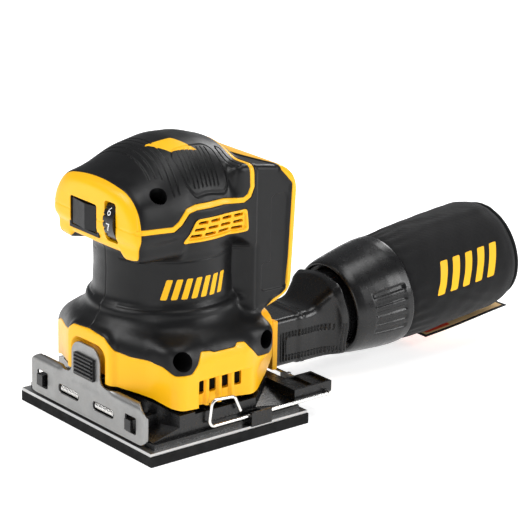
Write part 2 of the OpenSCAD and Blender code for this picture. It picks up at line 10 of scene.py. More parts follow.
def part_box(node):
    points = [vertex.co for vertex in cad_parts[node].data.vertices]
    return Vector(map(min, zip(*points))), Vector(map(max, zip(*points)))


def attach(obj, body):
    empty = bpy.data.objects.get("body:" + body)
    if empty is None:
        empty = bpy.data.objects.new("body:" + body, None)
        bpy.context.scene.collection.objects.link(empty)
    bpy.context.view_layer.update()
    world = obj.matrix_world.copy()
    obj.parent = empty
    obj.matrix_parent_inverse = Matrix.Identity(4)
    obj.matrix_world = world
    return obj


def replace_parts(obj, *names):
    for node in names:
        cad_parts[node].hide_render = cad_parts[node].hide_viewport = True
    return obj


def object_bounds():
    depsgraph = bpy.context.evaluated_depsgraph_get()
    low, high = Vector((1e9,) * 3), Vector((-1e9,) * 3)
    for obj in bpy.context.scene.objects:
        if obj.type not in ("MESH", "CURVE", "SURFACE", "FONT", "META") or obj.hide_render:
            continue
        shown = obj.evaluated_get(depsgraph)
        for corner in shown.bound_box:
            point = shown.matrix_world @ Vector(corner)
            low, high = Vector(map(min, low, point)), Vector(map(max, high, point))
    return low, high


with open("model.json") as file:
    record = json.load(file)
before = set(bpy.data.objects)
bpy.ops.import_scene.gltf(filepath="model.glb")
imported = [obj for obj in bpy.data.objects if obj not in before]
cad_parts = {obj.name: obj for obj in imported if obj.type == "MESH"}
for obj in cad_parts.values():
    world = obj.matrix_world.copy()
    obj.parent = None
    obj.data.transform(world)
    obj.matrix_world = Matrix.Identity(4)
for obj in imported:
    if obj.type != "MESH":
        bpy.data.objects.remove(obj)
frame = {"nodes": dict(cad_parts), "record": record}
cad_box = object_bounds()

# ---------------------------------------------------------------- materials

def shader(m):
    return m.node_tree.nodes["Principled BSDF"]


def material(name, color, rough=0.5, metal=0.0, coat=0.0, spec=0.5):
    m = bpy.data.materials.new(name)
    m.use_nodes = True
    b = shader(m)
    b.inputs["Base Color"].default_value = (*color, 1)
    b.inputs["Roughness"].default_value = rough
    b.inputs["Metallic"].default_value = metal
    b.inputs["Specular IOR Level"].default_value = spec
    b.inputs["Coat Weight"].default_value = coat
    return m


def node(m, kind, **inputs):
    n = m.node_tree.nodes.new(kind)
    for key, value in inputs.items():
        n.inputs[key].default_value = value
    return n


def coords(m):
    return m.node_tree.nodes.new("ShaderNodeTexCoord").outputs["Object"]


def wire(m, a, b):
    m.node_tree.links.new(a, b)


def bump(m, height, strength, distance, under=None):
    """A bump from the height socket, on top of an earlier bump."""
    n = node(m, "ShaderNodeBump", Strength=strength, Distance=distance)
    wire(m, height, n.inputs["Height"])
    if under:
        wire(m, under.outputs["Normal"], n.inputs["Normal"])
    wire(m, n.outputs["Normal"], shader(m).inputs["Normal"])
    return n


def noise(m, scale, detail=3.0, rough=0.5, stretch=None):
    n = node(m, "ShaderNodeTexNoise", Scale=scale, Detail=detail, Roughness=rough)
    if stretch:
        mp = node(m, "ShaderNodeMapping", Scale=stretch)
        wire(m, coords(m), mp.inputs["Vector"])
        wire(m, mp.outputs["Vector"], n.inputs["Vector"])
    else:
        wire(m, coords(m), n.inputs["Vector"])
    return n


def spread(m, value, low, high, socket):
    """Maps the usual range of a noise, 0.3 to 0.7, onto low..high and feeds it to the socket."""
    n = node(m, "ShaderNodeMapRange")
    n.inputs["From Min"].default_value = 0.3
    n.inputs["From Max"].default_value = 0.7
    n.inputs["To Min"].default_value = low
    n.inputs["To Max"].default_value = high
    wire(m, value, n.inputs["Value"])
    wire(m, n.outputs["Result"], socket)
    return n


def tint(m, factor, dark, light):
    n = m.node_tree.nodes.new("ShaderNodeMixRGB")
    n.inputs[1].default_value = (*dark, 1)
    n.inputs[2].default_value = (*light, 1)
    wire(m, factor, n.inputs[0])
    wire(m, n.outputs[0], shader(m).inputs["Base Color"])
    return n


def moulded(name, dark, light, rough, grain, depth, coat=0.0, spec=0.5):
    """Moulded plastic: fine spark grain, faint colour drift, uneven gloss."""
    m = material(name, light, rough, coat=coat, spec=spec)
    drift = noise(m, 40, 2)
    tint(m, drift.outputs["Fac"], dark, light)
    gloss = noise(m, 220, 4)
    spread(m, gloss.outputs["Fac"], rough * 0.88, min(1, rough * 1.12), shader(m).inputs["Roughness"])
    wave = bump(m, noise(m, 90, 1).outputs["Fac"], 0.06, 0.0004)
    bump(m, noise(m, grain, 3, 0.6).outputs["Fac"], depth, 0.00008, wave)
    return m


yellow = moulded("yellow_shell", (0.92, 0.445, 0.001), (0.97, 0.50, 0.0015), 0.38, 2600, 0.22,
                  coat=0.05, spec=0.3)
yellow_paint = moulded("yellow_print", (0.90, 0.46, 0.002), (0.96, 0.51, 0.003), 0.5, 3200, 0.3, spec=0.3)
soft = moulded("soft_overmold", (0.0032, 0.0032, 0.0035), (0.0058, 0.0058, 0.0062), 0.38, 3400, 0.4,
                spec=0.25)
hard = moulded("black_plastic", (0.0030, 0.0030, 0.0033), (0.0052, 0.0052, 0.0056), 0.27, 2400, 0.35,
                spec=0.38)
# Near black colour for the inner sheet: painted shade standing in for the dark inside the housing
painted_shade_inside = moulded("painted_shade_recess", (0.002, 0.002, 0.002), (0.003, 0.003, 0.003), 0.8, 900, 0.2, spec=0.2)
white_print = moulded("white_print", (0.72, 0.72, 0.72), (0.82, 0.82, 0.82), 0.5, 2600, 0.2)
foam = moulded("foam", (0.005, 0.005, 0.005), (0.009, 0.009, 0.009), 0.85, 1500, 0.9, spec=0.22)
board = moulded("board", (0.01, 0.09, 0.03), (0.015, 0.14, 0.05), 0.4, 1500, 0.2)
magnet = moulded("magnet", (0.02, 0.02, 0.022), (0.04, 0.04, 0.043), 0.45, 1500, 0.3)


def metal(name, color, rough, brush=(1, 1, 1), grain=900, depth=0.25, wear=0.25):
    """Metal with brushing, mottled plating and small scratches."""
    m = material(name, color, rough, 1.0)
    cloud = noise(m, 130, 4, 0.65)
    tint(m, cloud.outputs["Fac"], tuple(c * (1 - wear) for c in color), color)
    fine = noise(m, grain, 3, 0.6, brush)
    spread(m, fine.outputs["Fac"], rough * 0.75, min(1, rough * 1.3), shader(m).inputs["Roughness"])
    base = bump(m, fine.outputs["Fac"], depth, 0.00006)
    scratch = node(m, "ShaderNodeTexVoronoi", Scale=260.0)
    scratch.feature = "DISTANCE_TO_EDGE"
    wire(m, coords(m), scratch.inputs["Vector"])
    bump(m, scratch.outputs["Distance"], 0.05, 0.00005, base)
    return m


steel = metal("bright_steel", (0.62, 0.62, 0.62), 0.28, (1, 1, 6))
nickel = metal("nickel_plate", (0.36, 0.36, 0.355), 0.42, (3, 3, 1), 1400, 0.35, 0.38)
wire_steel = metal("wire_steel", (0.74, 0.73, 0.71), 0.22, (1, 6, 1), 700, 0.12, 0.12)
plate_steel = metal("plate_edge", (0.55, 0.55, 0.55), 0.35, (1, 1, 8))
copper = metal("copper", (0.66, 0.34, 0.16), 0.35, (4, 4, 1))

for name, obj in frame["nodes"].items():
    slot = next(s["material_slot"] for s in frame["record"]["subparts"] if s["node"] == name)
    look = {"foam": foam, "steel": steel, "nickel_steel": nickel, "steel_plate_light": steel,
            "black_plastic": hard, "soft_grip": soft, "yellow_shell": yellow, "magnet": magnet,
            "copper": copper, "board": board, "bag_cloth": soft, "tag_cloth": foam}[slot]
    for k in range(max(1, len(obj.material_slots))):
        if obj.material_slots:
            obj.material_slots[k].material = look
        else:
            obj.data.materials.append(look)
frame["nodes"]["rear_clamp_wire"].material_slots[0].material = wire_steel
frame["nodes"]["pad_plate"].material_slots[0].material = plate_steel

# ---------------------------------------------------------------- fields, in millimetres

def smin(a, b, k):
    h = np.maximum(k - np.abs(a - b), 0) / k
    return np.minimum(a, b) - h * h * k / 4


def smax(a, b, k):
    return -smin(-a, -b, k)


def ramp(t, a, b):
    t = np.clip((t - a) / (b - a), 0, 1)
    return t * t * (3 - 2 * t)


def curve(t, points, smooth=1.6):
    """Value at t of a line through the points, with its corners rounded."""
    px, py = zip(*points)
    steps = (-1.0, -0.5, 0.0, 0.5, 1.0)
    return sum(np.interp(t + s * smooth, px, py) for s in steps) / len(steps)


def segment(u, v, points):
    """Distance in the plane from (u, v) to a polyline."""
    best = np.full(np.shape(u), 1e9)
    for (x0, y0), (x1, y1) in zip(points[:-1], points[1:]):
        dx, dy = x1 - x0, y1 - y0
        t = np.clip(((u - x0) * dx + (v - y0) * dy) / (dx * dx + dy * dy), 0, 1)
        best = np.minimum(best, np.hypot(u - x0 - t * dx, v - y0 - t * dy))
    return best


def convex(u, v, points, k=0.0):
    """Distance outside an anticlockwise convex outline, its corners rounded by k."""
    best = None
    n = len(points)
    for i in range(n):
        (x0, y0), (x1, y1) = points[i], points[(i + 1) % n]
        length = math.hypot(x1 - x0, y1 - y0)
        d = ((u - x0) * (y1 - y0) - (v - y0) * (x1 - x0)) / length
        best = d if best is None else (smax(best, d, k) if k else np.maximum(best, d))
    return best


def round_rect(u, v, u0, u1, v0, v1, r):
    """Distance outside a rounded rectangle, negative inside it."""
    qx = np.abs(u - (u0 + u1) / 2) - (u1 - u0) / 2 + r
    qy = np.abs(v - (v0 + v1) / 2) - (v1 - v0) / 2 + r
    return np.hypot(np.maximum(qx, 0), np.maximum(qy, 0)) + np.minimum(np.maximum(qx, qy), 0) - r


def mirrored(half):
    """An outline closed by its own mirror image in x."""
    return list(half) + [(-x, y) for x, y in reversed(half)]


# Screws of the cap: place on the +X side and direction of their wells. Screws of the shell: y and height.
CAP_SCREW, CAP_SCREW_WAY = (31.6, -26.8, 129.0), (0.56, -0.2, 0.80)
SIDE_SCREWS = ((-26.0, 48.6), (29.2, 47.8))
LOBES = ((41.5, -24.2), (40.0, 29))  # x and y of the bosses under the shell's screws
BAY_X, BAY_LOW, BAY_HIGH = 31, 68, 128  # opening of the battery bay
# Outlines from above: foot of the housing and front block; from the side: battery dock.
# Bars and slots are the y of each one at the sides.
BASE = mirrored([(17, -46), (53.2, -29.5), (53.2, 18.5), (17, 60)])
BARS = (-10.6, -2.7, 5.2)
SLOTS = (-14.4, -6.65, 1.25, 9.1)
DOCK = [(14, 58), (27.5, 57.2), (48, 62), (54.2, 66.8), (57.3, 124.5), (50, 133.0), (35, 137.4), (14, 138.0)]
BLOCK = mirrored([(25, -42.5), (36.3, -40.2), (37, -34), (37, -12)])


def dome_axes(y):
    """Height and half width of the dome at y."""
    up = curve(y, [(-46, 18.6), (-43, 21.5), (-38, 25.3), (-30, 30.2), (-18, 36.1), (-2, 39.4), (12, 38.7),
                   (26, 34.4), (32, 30)], 3)
    side = curve(y, [(-46, 34), (-38, 36), (-20, 38), (0, 39), (18, 38), (26, 36), (32, 32)], 3)
    return up, side


def housing(x, y, z):
    """Negative inside the outside shape of the two shells and the cap."""
    r = np.hypot(x, y)
    ax = np.abs(x)
    ring = 2.2 * np.exp(-((z - 66.5) / 2.6) ** 2) + 1.2 * np.exp(-((z - 62) / 3.5) ** 2)
    barrel = r - (36 + 2.5 * ramp(z, 95, 105) + ring - 0.5 * np.exp(-((z - 84) / 9) ** 2))
    barrel = smax(barrel, z - 119, 2)
    base = smax(convex(x, y, BASE, 5), (r - 67 + 1.6 * (z - 44)) / 1.887, 7)
    arch = smax(round_rect(x, z, -19.4, 19.4, 10, 56.2, 9), -46.6 - y, 3)
    base = smin(base, smax(arch, y + 30, 3), 3)
    body = smin(base, barrel, 9)
    for px, py in LOBES:
        lobe = np.hypot(x - px, y - py) - 8.3
        body = smin(body, smax(smax(lobe, z - 54.5, 6), 38 - z, 6), 7)
    dock = smax(convex(y, z, DOCK, 4), ax - 38, 4)
    dock = smax(dock, 24.5 - 11 * ramp(z, 93, 105) - y, 9)
    body = smin(body, dock, 6)
    up, side = dome_axes(y)
    dome = (((ax / side) ** 2.15 + (np.abs(z - 110) / up) ** 2.15) ** (1 / 2.15) - 1) * up
    dome = smax(smax(dome, 107 - z, 4), np.maximum(-43.5 - y, y - 31), 3)
    body = smin(body, dome, 3)
    corner = np.where(z > 110, 18.0, 5.0)
    face = round_rect(x, z, -37, 37, 99.3 - 3.2 * ramp(ax, 19, 24), 131.6, corner)
    block = smax(smax(face, convex(x, y, BLOCK, 3), 5), y + 14, 2)
    body = smin(body, block, 4)
    # Recess behind the lever loop, with upright bars between its vents
    limit = np.where(y < 9, 50.2, 50.2 + (y - 9) * 0.3)
    recess = np.maximum(np.maximum(limit - ax, -16.5 - y), z - 36.6)
    bars = np.min([np.hypot(ax - 50.4, y - b) for b in BARS], axis=0) - 1.5
    recess = smax(recess, -bars, 0.6)
    body = smax(body, -recess, 1.0)
    # Pocket of the front clamp
    pocket = np.maximum(round_rect(x, z, -14, 14, 10, 48.5, 6), y + 39.5)
    return smax(body, -pocket, 1.2)


def outermost(field, origin, direction, reach):
    """Where each ray crosses the surface for the last time on its way out."""
    n = direction.shape[0]
    steps = np.arange(reach, 4, -1.2)
    hit = np.full(n, steps[-1])
    alive = np.ones(n, bool)
    for t in steps:
        p = origin[alive] + direction[alive] * t
        inside = field(p[:, 0], p[:, 1], p[:, 2]) < 0
        index = np.nonzero(alive)[0][inside]
        hit[index] = t
        alive[index] = False
        if not alive.any():
            break
    low, high = hit, hit + 1.2
    for _ in range(14):
        mid = (low + high) / 2
        p = origin + direction * mid[:, None]
        inside = field(p[:, 0], p[:, 1], p[:, 2]) < 0
        low = np.where(inside, mid, low)
        high = np.where(inside, high, mid)
    return origin + direction * ((low + high) / 2)[:, None]


def gradient(field, p, h=0.15):
    g = np.stack([field(*(p + d).T) - field(*(p - d).T) for d in np.eye(3) * h], axis=1)
    return g / np.maximum(np.linalg.norm(g, axis=1), 1e-9)[:, None]


def wrap_grid(rows, cols):
    """Triangles of a grid whose columns close into a ring."""
    i, j = np.meshgrid(np.arange(rows - 1), np.arange(cols), indexing="ij")
    a = i * cols + j
    b = i * cols + (j + 1) % cols
    c, d = a + cols, b + cols
    return np.concatenate([np.stack([a, b, d], -1).reshape(-1, 3), np.stack([a, d, c], -1).reshape(-1, 3)])


def flat_grid(rows, cols):
    i, j = np.meshgrid(np.arange(rows - 1), np.arange(cols - 1), indexing="ij")
    a = i * cols + j
    b, c, d = a + 1, a + cols, a + cols + 1
    return np.concatenate([np.stack([a, b, d], -1).reshape(-1, 3), np.stack([a, d, c], -1).reshape(-1, 3)])


class Patch:
    """Points with named values, triangles, and a label on each triangle."""

    def __init__(self, points, faces, **values):
        self.p, self.f, self.v = points, faces, dict(values)
        self.label = np.zeros(len(faces), int)

    def cut(self, name):
        """Splits the triangles that a value's zero line crosses, and returns which ones are above it."""
        s = self.v[name].copy()
        s[np.abs(s) < 1e-3] = 1e-3
        self.v[name] = s
        # One corner of a crossed triangle is alone on its side: a small triangle is cut off at it
        up = s[self.f] > 0
        count = up.sum(1)
        lone = (count == 1) | (count == 2)
        f = self.f[lone]
        odd = np.where(count[lone] == 1, np.argmax(up[lone], 1), np.argmin(up[lone], 1))
        rows = np.arange(len(f))
        a, b, c = f[rows, odd], f[rows, (odd + 1) % 3], f[rows, (odd + 2) % 3]
        edges = np.concatenate([np.stack([a, b], 1), np.stack([a, c], 1)])
        ordered = np.sort(edges, axis=1)
        unique, where = np.unique(ordered, axis=0, return_inverse=True)
        where = where.reshape(-1)
        i, j = unique[:, 0], unique[:, 1]
        t = s[i] / (s[i] - s[j])
        start = len(self.p)
        self.p = np.concatenate([self.p, self.p[i] + (self.p[j] - self.p[i]) * t[:, None]])
        for key, value in self.v.items():
            w = t if value.ndim == 1 else t[:, None]
            self.v[key] = np.concatenate([value, value[i] + (value[j] - value[i]) * w])
        self.v[name][start:] = 0
        p, q = start + where[:len(f)], start + where[len(f):]
        lone_up = count[lone] == 1
        parts = [self.f[~lone], np.stack([a, p, q], 1), np.stack([p, b, c], 1), np.stack([p, c, q], 1)]
        old = self.label
        self.label = np.concatenate([old[~lone], old[lone], old[lone], old[lone]])
        self.f = np.concatenate(parts)
        return np.concatenate([count[~lone] == 3, lone_up, ~lone_up, ~lone_up])


def add(name, mesh, look, body):
    """An object with one look, riding on a body."""
    mesh.materials.append(look)
    obj = bpy.data.objects.new(name, mesh)
    bpy.context.scene.collection.objects.link(obj)
    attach(obj, body)
    return obj


def make(name, points, faces, look, body):
    """A smooth mesh object in metres from points in millimetres, riding on a body."""
    used = np.unique(faces)
    remap = np.full(len(points), -1)
    remap[used] = np.arange(len(used))
    mesh = bpy.data.meshes.new(name)
    co = (points[used] / 1000).astype(np.float32)
    mesh.vertices.add(len(co))
    mesh.vertices.foreach_set("co", co.ravel())
    f = remap[faces].astype(np.int32)
    n = f.shape[1]
    mesh.loops.add(f.size)
    mesh.loops.foreach_set("vertex_index", f.ravel())
    mesh.polygons.add(len(f))
    mesh.polygons.foreach_set("loop_start", np.arange(len(f), dtype=np.int32) * n)
    mesh.polygons.foreach_set("use_smooth", np.full(len(f), True))
    mesh.update()
    mesh.validate()
    return add(name, mesh, look, body)


def thicken(obj, thickness):
    """Gives a sheet a thickness in metres, half on each side."""
    mod = obj.modifiers.new("thickness", "SOLIDIFY")
    mod.thickness, mod.offset = thickness, 0


def rim(faces, keep, drop, points, inward, depth):
    """Walls along the border between kept and dropped triangles, reaching inward."""
    def directed(f):
        return np.concatenate([f[:, [0, 1]], f[:, [1, 2]], f[:, [2, 0]]])
    kept, gone = directed(faces[keep]), directed(faces[drop])
    gone_set = set(map(tuple, gone[:, ::-1].tolist()))
    border = np.array([e for e in kept.tolist() if tuple(e) in gone_set])
    if len(border) == 0:
        return points, np.zeros((0, 3), int)
    used = np.unique(border)
    remap = {int(v): len(points) + k for k, v in enumerate(used)}
    lip = points[used]
    out = np.concatenate([points, lip, lip + inward[used] * depth])
    a = np.array([remap[int(v)] for v in border[:, 0]])
    b = np.array([remap[int(v)] for v in border[:, 1]])
    deep = len(used)
    return out, np.concatenate([np.stack([b, a, a + deep], 1), np.stack([b, a + deep, b + deep], 1)])


# ---------------------------------------------------------------- housing

def lower_edge(x, y):
    """Height of the housing's lower edge."""
    run = np.abs(x) + np.clip(y + 29.5, 0, 60) * 0.45
    edge = [(12, 30.5), (18, 30.5), (32, 29.2), (40, 27.8), (47, 25.2), (53.2, 23.5), (61, 22.5)]
    return curve(run, edge, 1.2)


# Lower border of the black skin (degrees from the front, height), its border at the dock (height, y),
# the yellow stripe on each side and the outline of the vent (y, height)
BORDER = [(0, 55.8), (16, 54.6), (21, 51.5), (24.6, 48.8), (35, 47.4), (46, 47.3), (53.4, 45.8), (59, 42),
          (68, 41.7), (71.7, 46), (73.9, 51.5), (79.6, 51), (82.4, 50), (96.7, 49.9), (98.7, 51.8),
          (104, 51.1), (106.4, 47.9), (114.4, 40.6), (125, 39), (131, 43), (136, 50), (141, 57), (180, 57)]
DOCK_EDGE = [(57, 38), (60, 38.2), (62, 39.5), (64.3, 42.3), (65.1, 46.4), (67.7, 50), (90, 51.2),
             (123.5, 52.9), (131.3, 45.8)]
STRIPE = [(-41.5, 113.5), (-32, 113), (-22, 112.4), (-18, 114.8), (-13, 120.2), (-8, 121.3), (0, 121.3),
          (9, 121.4), (21.5, 120), (25, 121.6), (27, 126), (26.7, 132.8), (26.2, 138), (26, 152)]
VENT = [(-15, 104), (24, 104.2), (22.6, 115), (-8.4, 115)]


def black_side(x, y, z):
    """Positive where the soft black skin covers the housing."""
    angle = np.degrees(np.arctan2(np.abs(x), -y))
    lower = z - curve(angle, BORDER, 0.7)
    top = 34.5 + 11.3 * (np.abs(x) / 38) ** 2
    limit = np.where(z > 131.3, top, curve(z, DOCK_EDGE, 0.6))
    dock = np.where(z > 50, limit - y, 50)
    front = np.maximum(y + 40.2, 95.2 - z)
    return np.minimum(np.minimum(lower, dock), front)


def bars(u, v, centres, v0, v1, width, lean):
    """Positive inside a row of leaning bars."""
    best = None
    mid, half = (v0 + v1) / 2, (v1 - v0) / 2
    for c in centres:
        d = round_rect(u - lean * (v - mid), v, c - width / 2, c + width / 2, mid - half, mid + half, 0.6)
        best = d if best is None else np.minimum(best, d)
    return -best


def housing_grid(step):
    """Points, normals and triangles of the housing's outside, cast out from its axis."""
    cols = int(640 / step) // 4 * 4
    low = np.arange(20.0, 100.0, 0.5 * step)
    lift = np.radians(np.linspace(0, 89.4, int(176 / step)))
    turn = np.arange(cols) * 2 * math.pi / cols
    flat = np.stack([np.sin(turn), -np.cos(turn), np.zeros(cols)], 1)
    origin = np.concatenate([np.repeat(np.stack([0 * low, 0 * low, low], 1), cols, 0),
                             np.tile([0, 0, 100.0], (len(lift) * cols, 1))])
    up = flat[None] * np.cos(lift)[:, None, None] + np.array([0, 0, 1.0]) * np.sin(lift)[:, None, None]
    direction = np.concatenate([np.tile(flat, (len(low), 1)), up.reshape(-1, 3)])
    p = outermost(housing, origin, direction, 92)
    p[:, 0][np.tile(turn, len(low) + len(lift)) == 0] = 0
    n = gradient(housing, p)
    rows = len(low) + len(lift)
    faces = wrap_grid(rows, cols)
    last = (rows - 1) * cols + np.arange(cols)
    tip = len(p)
    top = p[last].mean(0)
    p = np.concatenate([p, top[None]])
    n = np.concatenate([n, [[0, 0, 1.0]]])
    fan = np.stack([last, np.roll(last, -1), np.full(cols, tip)], 1)
    return p, n, np.concatenate([faces, fan]), rows, cols


def vent_slots(y, z):
    """Distance outside the nearest of twelve slots, in three rows."""
    best = None
    for row in range(3):
        for k in range(4):
            first = -12.4 + row * 2.2
            pitch = (21.8 - first) / 4
            c = first + pitch * (k + 0.5)
            m = 106.5 + row * 3.3
            half = pitch / 2 - 0.75
            d = round_rect(y, z, c - half, c + half, m - 0.8, m + 0.8, 0.7)
            best = d if best is None else np.minimum(best, d)
    return best


def dome_grooves(x, y, z):
    """Positive inside the grip grooves of the dome, zero at their edges."""
    ax = np.abs(x)
    bend = y + 0.0035 * x * x
    long = 0.62 - np.min([np.abs(bend - c) for c in (-24.6, -21.4, -18.2, -15.0, -11.8)], axis=0)
    screw = np.hypot(ax - CAP_SCREW[0], y - CAP_SCREW[1])
    long = np.minimum(long, (34.2 - ax) * 0.5)
    long = np.minimum(long, (z - 123.5) * 0.5)
    long = np.minimum(long, screw - 7.0)
    fine = 0.5 - np.min([np.abs(bend - c) for c in np.arange(-7.2, 12.5, 2.45)], axis=0)
    fine = np.minimum(fine, -round_rect(ax, y, 17.5, 34.5, -8.8, 13.6, 4))
    border = 0.55 - np.abs(round_rect(ax, y, 16.2, 35.8, -10.1, 14.9, 5))
    oval = 0.55 - np.abs(round_rect(ax, y, 17, 35.6, 18.2, 21.4, 1.55))
    far = np.where(z < 123, 9, 0)
    return np.max([long, fine, border - far, oval - far], axis=0)


def fields(p):
    """Named values over the housing. Each one is about a distance in millimetres."""
    x, y, z = p.T
    ax = np.abs(x)
    side = np.where(ax > 30, 0, 99)
    out = {}
    out["edge"] = z - lower_edge(x, y)
    out["colour"] = black_side(x, y, z)
    out["stripe"] = 1.35 - segment(y, z, STRIPE) - np.where(z < 110, 9, 0)
    holes = [np.hypot(y - a, z - b) - 4.8 + np.where(x < 14, 99, 0) for a, b in SIDE_SCREWS]
    out["side_screws"] = np.minimum(*holes)
    way = np.array(CAP_SCREW_WAY)
    away = np.stack([ax - CAP_SCREW[0], y - CAP_SCREW[1], z - CAP_SCREW[2]], 1)
    along = away @ way
    off_axis = np.linalg.norm(away - along[:, None] * way, axis=1)
    out["cap_screws"] = off_axis - 4.5 + np.where(np.abs(along) > 9, 99, 0)
    slots = [round_rect(y, z, c - 2.1, c + 2.1, 28.6, 36.2, 0.9) for c in SLOTS]
    out["slots"] = np.min(slots, axis=0) + np.where(ax < 45, 99, 0)
    out["vent_slots"] = vent_slots(y, z) + side
    out["dial"] = round_rect(x, z, 10.7, 20.0, 104, 125, 1.6) + np.where(y > -38, 99, 0)
    out["rocker"] = round_rect(x, z, -18.9, 3.9, 105, 120.6, 1.5) + np.where(y > -38, 99, 0)
    out["bay"] = round_rect(x, z, -BAY_X, BAY_X, BAY_LOW, BAY_HIGH, 4) + np.where(y < 40, 99, 0)
    angle = np.degrees(np.arctan2(ax, -y))
    arc = angle * 36 * math.pi / 180
    centres = [36 * math.radians(a) for a in (56, 64.5, 73, 81.5, 90, 98.5, 107)]
    marks = bars(arc, z, centres, 73.4, 83.8, 3.3, 0.32)
    out["marks"] = marks - np.where((z < 69) | (z > 88), 99, 0)
    u, v = (x - 12) * 0.6 + (y + 5) * 0.8, -(x - 12) * 0.8 + (y + 5) * 0.6
    top = np.where(z > 140, 0, 99)
    out["lozenge"] = -(np.abs(u) / 13.2 + np.abs(v) / 6.0 - 1) * 5.4 - top
    out["vent_rim"] = convex(y, z, VENT, 2.0) + side
    panel = np.minimum(round_rect(y, z, 40, 50.6, 70.5, 119, 2.5), round_rect(y, z, 34.2, 50.6, 69, 84, 2.5))
    out["arcs"] = dome_grooves(x, y, z)
    out["panel"] = panel + np.where(ax < 37, 99, 0)
    return out


step = 1.0
P, N, F, ROWS, COLS = housing_grid(step)
patch = Patch(P, F, n=N, **fields(P))
patch.v["colour"] = np.clip(patch.v["colour"], -30, 30)


def normalise(name):
    """Scales a value so that it changes by about one for each millimetre of surface."""
    g = patch.v[name][:-1].reshape(ROWS, COLS)
    p = patch.p[:-1].reshape(ROWS, COLS, 3)
    dv1 = np.roll(g, -1, 1) - np.roll(g, 1, 1)
    dp1 = np.linalg.norm(np.roll(p, -1, 1) - np.roll(p, 1, 1), axis=2)
    dv0 = np.gradient(g, axis=0)
    dp0 = np.linalg.norm(np.gradient(p, axis=0), axis=2)
    slope = np.hypot(dv0 / np.maximum(dp0, 1e-3), dv1 / np.maximum(dp1, 1e-3))
    patch.v[name][:-1] = (g / np.clip(slope, 0.5, 3)).reshape(-1)


normalise("colour")
GROOVE_W = 0.36  # half width of the groove between two colours
flags = {}


def split(name, offset=0.0):
    """Cuts along name = offset and returns which triangles are above it; at offset zero it also keeps a flag
    for them.
    """
    global flags
    patch.v["_"] = patch.v[name] - offset
    keys = list(flags)
    packed = np.zeros(len(patch.f), int)
    for k, key in enumerate(keys):
        packed |= flags[key].astype(int) << k
    patch.label = packed
    above = patch.cut("_")
    flags = {key: (patch.label >> k & 1).astype(bool) for k, key in enumerate(keys)}
    if offset == 0:
        flags[name] = above
    return above


for s in (0.0, GROOVE_W, -GROOVE_W):
    split("colour", s)
    split("stripe", s)
for name in ("edge", "side_screws", "cap_screws", "slots", "vent_slots", "dial", "rocker", "bay",
             "marks", "lozenge"):
    split(name)
for s in (0.0, 0.4):
    split("arcs", s)
for s in (-0.9, 0.0, 0.5, 1.2):
    split("vent_rim", s)
for s in (-0.35, 0.35):
    split("panel", s)

# Depths of the grooves and steps, in mm
COLOUR_GROOVE, STRIPE_GROOVE, SEAM, RING_GROOVE, GRIP_GROOVE = 0.34, 0.3, 0.32, 0.4, 0.55
VENT_RIM, VENT_SINK, DOCK_STEP, PANEL_STEP = 0.75, 0.35, 0.7, 0.75
CAP_LINE = 113.2  # height of the seam between the cap and the face

x, y, z = patch.p.T
ax = np.abs(x)
v = patch.v
sink = COLOUR_GROOVE * np.clip(1 - np.abs(v["colour"]) / GROOVE_W, 0, 1)
sink = np.maximum(sink, STRIPE_GROOVE * np.clip(1 - np.abs(v["stripe"]) / GROOVE_W, 0, 1))
seam = SEAM * np.clip(1 - ax / 0.42, 0, 1) * ((y < 0) & (z > 56) & (z < CAP_LINE) | (y > 0) & (z < 66))
sink = np.maximum(sink, seam)
cross = SEAM * np.clip(1 - np.abs(z - CAP_LINE) / 0.45, 0, 1) * ((y < -40) & (ax < 36.5))
sink = np.maximum(sink, cross)
turn = np.degrees(np.arctan2(ax, -y))
for level, a0, a1 in ((93.0, 14, 128), (68.6, 14, 118)):
    mask = ramp(turn, a0, a0 + 3) * (1 - ramp(turn, a1 - 3, a1))
    sink = np.maximum(sink, RING_GROOVE * mask * np.clip(1 - np.abs(z - level) / 0.65, 0, 1))
rim_lift = VENT_RIM * ramp(-np.abs(v["vent_rim"] + 0.2), -1.1, -0.5)
inside = VENT_SINK * ramp(-v["vent_rim"], 0.7, 1.0)
sink = sink - rim_lift + inside
sink = sink + DOCK_STEP * ramp(v["colour"], 0.3, 1.6) * ((y > 30) & (z > 60))
sink = sink + PANEL_STEP * ramp(-v["panel"], -0.35, 0.35)
sink = sink + GRIP_GROOVE * np.clip(v["arcs"] / 0.5, 0, 1) * (z > 119)
body_p = patch.p - v["n"] * sink[:, None]

keep = flags["edge"].copy()
for name in ("side_screws", "cap_screws", "slots", "vent_slots", "dial", "rocker", "bay"):
    keep &= flags[name]
printed = flags["marks"] | flags["lozenge"]
grille = (v["vent_rim"][patch.f].max(1) < 0.51)
black = flags["colour"] & ~flags["stripe"] & ~printed & ~grille


def walls(name, above, below, direction, depth, look):
    """Walls that reach in from the edge of an opening."""
    pts, sides = rim(patch.f, above, below, body_p, direction, depth)
    if len(sides):
        make(name, pts, sides, look, "housing")


inward = -v["n"]
level_in = inward * [1, 1, 0]
level_in /= np.maximum(np.linalg.norm(level_in, axis=1), 1e-6)[:, None]
housing_yellow = make("housing_shell", body_p, patch.f[keep & ~black & ~printed], yellow, "housing")
housing_black = make("housing_skin", body_p, patch.f[keep & black], soft, "housing")
make("housing_marks", body_p, patch.f[keep & printed], yellow_paint, "housing")
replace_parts(housing_yellow, "housing_left", "housing_right", "top_cap")
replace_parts(housing_black, "overmold_left", "overmold_right", "top_grip")
walls("shell_edge", keep, ~flags["edge"], level_in, 2.4, yellow)
walls("slot_walls", keep, ~flags["slots"], level_in, 3.2, yellow)
walls("vent_walls", keep, ~flags["vent_slots"], level_in, 2.6, yellow)
minus_x = np.tile([-1.0, 0, 0], (len(patch.p), 1))
walls("screw_wells", keep, ~flags["side_screws"], minus_x, 22, soft)
bore = -np.tile(CAP_SCREW_WAY, (len(patch.p), 1))
bore[:, 0] *= np.sign(patch.p[:, 0])
